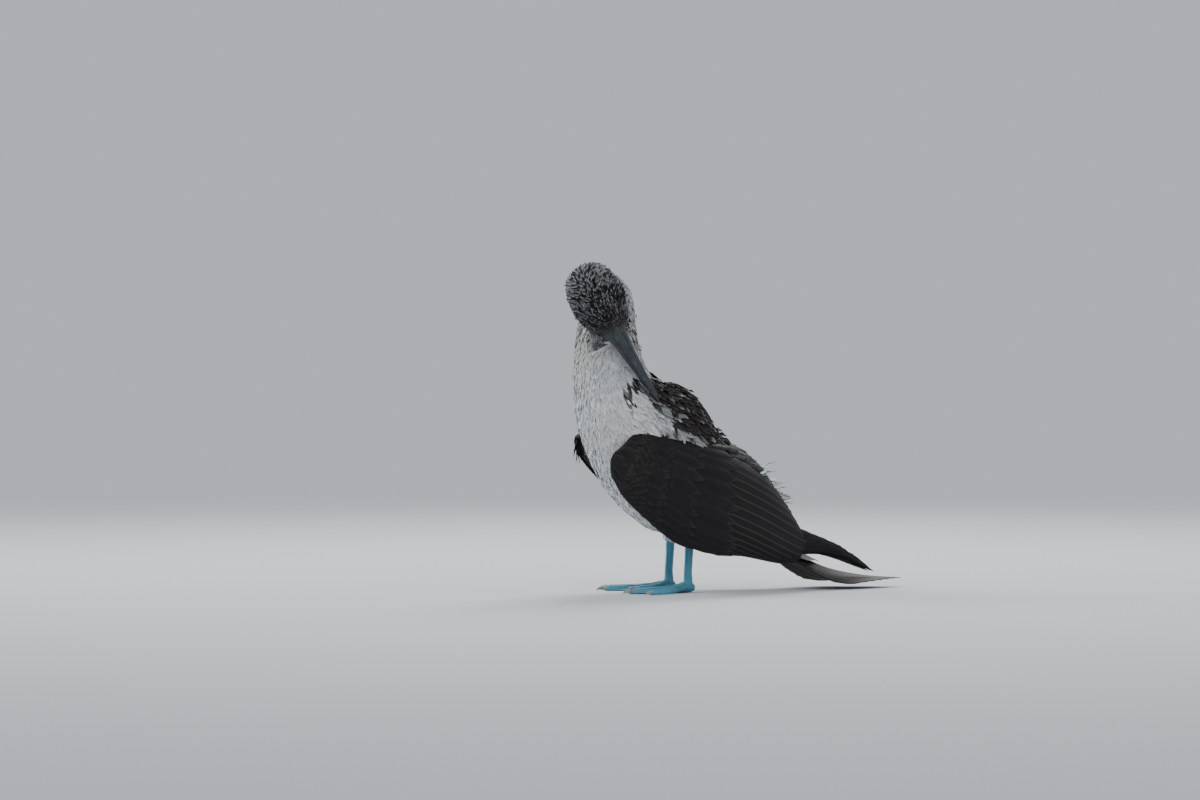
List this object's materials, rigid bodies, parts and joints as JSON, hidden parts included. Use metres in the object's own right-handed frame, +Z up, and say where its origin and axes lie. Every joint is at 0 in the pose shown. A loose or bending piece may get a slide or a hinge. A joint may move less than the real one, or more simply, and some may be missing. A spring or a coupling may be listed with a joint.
{
  "type": "blue-footed booby, standing and preening",
  "caption": "Life-size blue-footed booby standing still on flat blue webbed feet, its head bent down to preen its left shoulder.",
  "frame": {"origin": "on the ground under the middle of the bounding box", "axes": "+Z up; the breast faces -X and the tail +X; the bird's left side faces -Y"},
  "size_m": [0.4594, 0.1616, 0.3995],
  "materials": {
    "white_plumage": "matte",
    "streaked_plumage": "matte",
    "dark_plumage": "satin",
    "bill_horn": "satin",
    "iris": "wet gloss",
    "blue_skin": "satin",
    "claw_horn": "satin"
  },
  "bodies": {
    "root": {"torso": "white_plumage", "neck_lower": "white_plumage", "neck_upper": "streaked_plumage", "head": "streaked_plumage", "bill_upper": "bill_horn", "bill_lower": "bill_horn", "tail": "dark_plumage", "eye_right": "iris", "wing_right": "dark_plumage", "thigh_right": "white_plumage", "shank_right": "blue_skin", "foot_right": "blue_skin", "claw_outer_right": "claw_horn", "claw_middle_right": "claw_horn", "claw_inner_right": "claw_horn", "claw_hind_right": "claw_horn", "eye_left": "iris", "wing_left": "dark_plumage", "thigh_left": "white_plumage", "shank_left": "blue_skin", "foot_left": "blue_skin", "claw_outer_left": "claw_horn", "claw_middle_left": "claw_horn", "claw_inner_left": "claw_horn", "claw_hind_left": "claw_horn"}
  },
  "joints": []
}
